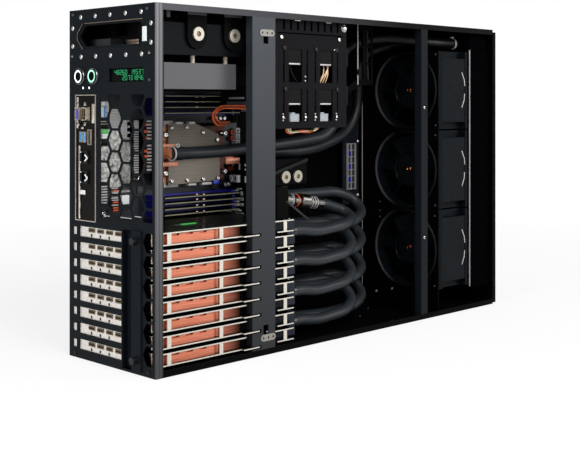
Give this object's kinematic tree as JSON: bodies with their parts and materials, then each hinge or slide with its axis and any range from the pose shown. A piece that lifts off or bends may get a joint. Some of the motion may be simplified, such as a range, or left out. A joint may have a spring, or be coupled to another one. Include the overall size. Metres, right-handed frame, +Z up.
{
  "type": "gpu server",
  "caption": "Tall open-sided server case with liquid-cooled accelerator cards, coolant hoses, pump, fans and radiator, rear ports, honeycomb vent and grip opening.",
  "frame": {"origin": "middle of the case's base, on the floor", "axes": "+X from the rear wall to the front panel, -Y out of the open side, +Z up"},
  "size_m": [0.698, 0.178, 0.439],
  "materials": {
    "black_sheet": "fine textured powder coat",
    "grey_brace": "smooth satin paint",
    "grey_sheet": "satin paint",
    "bright_steel": "bright",
    "zinc_steel": "satin zinc",
    "bright_fitting": "bright nickel",
    "collar_steel": "knurled",
    "copper": "milled copper",
    "nickel": "brushed nickel",
    "board": "solder mask",
    "blue_socket": "moulded",
    "black_plastic": "moulded",
    "fan_plastic": "glass-filled",
    "port_brown": "moulded",
    "hose_rubber": "smooth",
    "dark_aluminium": "coated",
    "cast_aluminium": "cast",
    "switch_metal": "turned",
    "light": "clear",
    "lead_orange": "extruded insulation"
  },
  "bodies": {
    "chassis": {"control_panel": "black_sheet", "io_panel": "black_sheet", "vent_grille": "black_sheet", "slot_panel": "black_sheet", "base_wall": "black_sheet", "top_wall": "black_sheet", "far_wall": "black_sheet", "front_panel": "black_sheet", "card_retainer": "black_sheet", "fan_wall": "black_sheet", "front_brace": "black_sheet", "drive_plate": "black_sheet", "cable_guide": "black_sheet", "gpu_brace": "grey_brace", "corner_post": "grey_sheet", "controller_box": "grey_sheet", "gpu_frames": "bright_steel", "brace_latches": "bright_steel", "io_shield": "bright_steel", "d_sub_ports": "bright_steel", "usb_ports": "bright_steel", "lan_ports": "bright_steel", "gpu_brackets": "zinc_steel", "port_plugs": "bright_fitting", "hose_fittings": "bright_fitting", "retainer_thumbscrews": "bright_fitting", "coupling_body": "bright_fitting", "gpu_cold_plates": "copper", "cpu_cold_plate": "copper", "cpu_block_top": "nickel", "motherboard": "board", "hub_board": "board", "gpu_boards": "board", "memory_modules": "board", "dimm_sockets": "blue_socket", "pcie_slots": "black_plastic", "cpu_socket": "black_plastic", "gpu_terminals": "black_plastic", "display_module": "black_plastic", "coolant_manifold": "black_plastic", "pump_block": "black_plastic", "reservoir": "black_plastic", "fan_frame_1": "fan_plastic", "fan_frame_2": "fan_plastic", "fan_frame_3": "fan_plastic", "gpu_port_shells": "port_brown", "coolant_hoses": "hose_rubber", "radiator": "dark_aluminium", "vrm_heatsink": "dark_aluminium", "drives": "cast_aluminium", "power_supply": "cast_aluminium", "switch_bodies": "switch_metal", "indicator_lights": "light", "wire_leads": "lead_orange"},
    "power_plunger": {"power_button": "switch_metal"},
    "reset_plunger": {"reset_button": "switch_metal"},
    "release_collar": {"coupling_collar": "collar_steel"},
    "fan_low": {"fan_rotor_1": "fan_plastic"},
    "fan_mid": {"fan_rotor_2": "fan_plastic"},
    "fan_high": {"fan_rotor_3": "fan_plastic"}
  },
  "joints": [
    {"name": "power_press", "type": "slide", "parent": "chassis", "child": "power_plunger", "axis": [1, 0, 0], "range_m": [0, 0.0015], "stiffness_N_per_m": 1500},
    {"name": "reset_press", "type": "slide", "parent": "chassis", "child": "reset_plunger", "axis": [1, 0, 0], "range_m": [0, 0.0015], "stiffness_N_per_m": 1500},
    {"name": "collar_slide", "type": "slide", "parent": "chassis", "child": "release_collar", "axis": [-0.9903, 0, 0.1392], "range_m": [0, 0.004], "stiffness_N_per_m": 1200},
    {"name": "fan_low_spin", "type": "hinge", "parent": "chassis", "child": "fan_low", "pos_m": [0.2195, -0.0205, 0.0965], "axis": [1, 0, 0], "continuous": true},
    {"name": "fan_mid_spin", "type": "hinge", "parent": "chassis", "child": "fan_mid", "pos_m": [0.2195, -0.0205, 0.219], "axis": [1, 0, 0], "continuous": true},
    {"name": "fan_high_spin", "type": "hinge", "parent": "chassis", "child": "fan_high", "pos_m": [0.2195, -0.0205, 0.3415], "axis": [1, 0, 0], "continuous": true}
  ]
}
